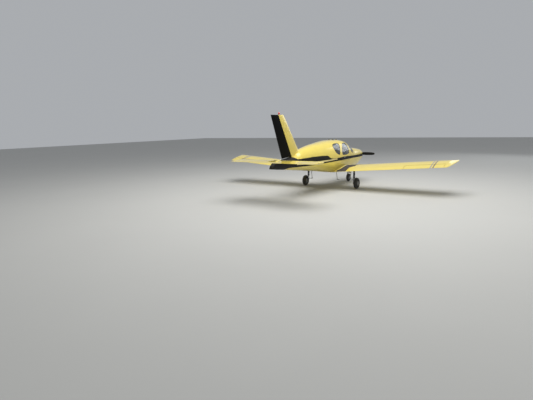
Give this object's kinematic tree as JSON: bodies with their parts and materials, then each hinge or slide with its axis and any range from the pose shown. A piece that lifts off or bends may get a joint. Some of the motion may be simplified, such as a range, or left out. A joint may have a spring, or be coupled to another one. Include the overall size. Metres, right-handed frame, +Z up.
{
  "type": "light aircraft",
  "caption": "Low-wing light touring aircraft on fixed nosewheel gear, with upward-opening cabin doors, flaps, ailerons, rudder and all-moving tailplane.",
  "frame": {"origin": "centre of the bounding box on the ground under the tyres", "axes": "+X to port along the wing, +Y aft towards the tail, +Z up; the nose points along -Y"},
  "size_m": [9.766, 7.6, 3.0203],
  "materials": {
    "composite_paint": "yellow gloss paint over moulded composite, black side band",
    "body_paint": "yellow gloss paint over riveted sheet, black side band",
    "wing_paint": "yellow gloss paint over riveted sheet",
    "black_paint": "black gloss paint",
    "blade_paint": "satin black paint over forged blades",
    "engine_metal": "cast block",
    "fire_steel": "bright sheet",
    "gear_paint": "dark grey leg",
    "nose_gear_paint": "off-white leg",
    "wheel_metal": "cast wheel",
    "tyre_rubber": "worn tread",
    "window_glass": "clear acrylic",
    "cabin_trim": "grained trim",
    "seat_cloth": "woven upholstery",
    "control_metal": "dark moulded grips",
    "exhaust_metal": "heat-stained pipe",
    "step_metal": "light grey",
    "red_lens": "red lens",
    "white_lens": "white lens"
  },
  "bodies": {
    "airframe": {"cowling_upper": "composite_paint", "cowling_lower": "composite_paint", "firewall": "fire_steel", "engine_block": "engine_metal", "cabin_tub": "body_paint", "cabin_roof": "composite_paint", "windscreen_left": "window_glass", "windscreen_right": "window_glass", "rear_window_left": "window_glass", "rear_window_right": "window_glass", "cabin_floor": "cabin_trim", "rear_bulkhead": "cabin_trim", "instrument_panel": "cabin_trim", "control_yoke_left": "control_metal", "control_yoke_right": "control_metal", "front_seat_left": "seat_cloth", "front_seat_right": "seat_cloth", "rear_seat": "seat_cloth", "tail_cone": "body_paint", "fin": "wing_paint", "wing_left": "wing_paint", "wing_right": "wing_paint", "wing_tip_left": "wing_paint", "wing_tip_right": "wing_paint", "main_leg_left": "gear_paint", "main_leg_right": "gear_paint", "nose_leg": "nose_gear_paint", "exhaust_pipe": "exhaust_metal", "step_left": "step_metal", "step_right": "step_metal", "beacon": "red_lens", "tail_light": "white_lens", "pitot_tube": "step_metal"},
    "propeller": {"propeller": "blade_paint", "spinner": "black_paint"},
    "nose_fork": {"nose_fork": "nose_gear_paint"},
    "nose_wheel": {"nose_tyre": "tyre_rubber", "nose_wheel": "wheel_metal"},
    "main_wheel_left": {"main_tyre_left": "tyre_rubber", "main_wheel_left": "wheel_metal"},
    "main_wheel_right": {"main_tyre_right": "tyre_rubber", "main_wheel_right": "wheel_metal"},
    "door_left": {"door_left": "composite_paint", "door_window_left": "window_glass"},
    "door_right": {"door_right": "composite_paint", "door_window_right": "window_glass"},
    "flap_left": {"flap_left": "wing_paint"},
    "flap_right": {"flap_right": "wing_paint"},
    "aileron_left": {"aileron_left": "wing_paint"},
    "aileron_right": {"aileron_right": "wing_paint"},
    "rudder": {"rudder": "black_paint"},
    "stabilator": {"stabilator": "wing_paint"},
    "anti_tab": {"anti_tab": "wing_paint"}
  },
  "joints": [
    {"name": "propeller_spin", "type": "hinge", "parent": "airframe", "child": "propeller", "pos_m": [0, -3.56, 1.225], "axis": [0, 1, 0], "continuous": true},
    {"name": "nose_steer", "type": "hinge", "parent": "airframe", "child": "nose_fork", "pos_m": [0, -2.895, 0.405], "axis": [0, 0.3665, 0.9304], "range_deg": [-20, 20]},
    {"name": "nose_wheel_spin", "type": "hinge", "parent": "nose_fork", "child": "nose_wheel", "pos_m": [0, -2.8, 0.1805], "axis": [1, 0, 0], "continuous": true},
    {"name": "main_wheel_left_spin", "type": "hinge", "parent": "airframe", "child": "main_wheel_left", "pos_m": [1.165, -0.84, 0.2225], "axis": [1, 0, 0], "continuous": true},
    {"name": "main_wheel_right_spin", "type": "hinge", "parent": "airframe", "child": "main_wheel_right", "pos_m": [-1.165, -0.84, 0.2225], "axis": [1, 0, 0], "continuous": true},
    {"name": "door_left_hinge", "type": "hinge", "parent": "airframe", "child": "door_left", "pos_m": [0.076, -1.05, 1.981], "axis": [0, -1, 0], "range_deg": [0, 78]},
    {"name": "door_right_hinge", "type": "hinge", "parent": "airframe", "child": "door_right", "pos_m": [-0.076, -1.05, 1.981], "axis": [0, 1, 0], "range_deg": [0, 78]},
    {"name": "flap_right_hinge", "type": "hinge", "parent": "airframe", "child": "flap_right", "pos_m": [0.00337, -0.44077, 0.73285], "axis": [-0.9969, 0, 0.0785], "range_deg": [0, 30]},
    {"name": "flap_left_hinge", "type": "hinge", "parent": "airframe", "child": "flap_left", "pos_m": [-0.00337, -0.44077, 0.73285], "axis": [-0.9969, 0, -0.0785], "range_deg": [0, 30]},
    {"name": "aileron_right_hinge", "type": "hinge", "parent": "airframe", "child": "aileron_right", "pos_m": [0.00337, -0.44077, 0.73285], "axis": [-0.9969, 0, 0.0785], "range_deg": [-18, 18]},
    {"name": "aileron_left_hinge", "type": "hinge", "parent": "airframe", "child": "aileron_left", "pos_m": [-0.00337, -0.44077, 0.73285], "axis": [-0.9969, 0, -0.0785], "range_deg": [-18, 18]},
    {"name": "rudder_hinge", "type": "hinge", "parent": "airframe", "child": "rudder", "pos_m": [0, 2.4, 1.425], "axis": [0, 0.4893, 0.8721], "range_deg": [-25, 25]},
    {"name": "stabilator_pivot", "type": "hinge", "parent": "airframe", "child": "stabilator", "pos_m": [0, 3.216, 1.4], "axis": [1, 0, 0], "range_deg": [-5, 14]},
    {"name": "anti_tab_hinge", "type": "hinge", "parent": "stabilator", "child": "anti_tab", "pos_m": [0, 3.662, 1.4], "axis": [1, 0, 0], "range_deg": [-6, 15]}
  ],
  "couplings": [
    {"joint": "flap_left_hinge", "follows": "flap_right_hinge", "ratio": 1},
    {"joint": "aileron_left_hinge", "follows": "aileron_right_hinge", "ratio": -1},
    {"joint": "anti_tab_hinge", "follows": "stabilator_pivot", "ratio": 1}
  ]
}
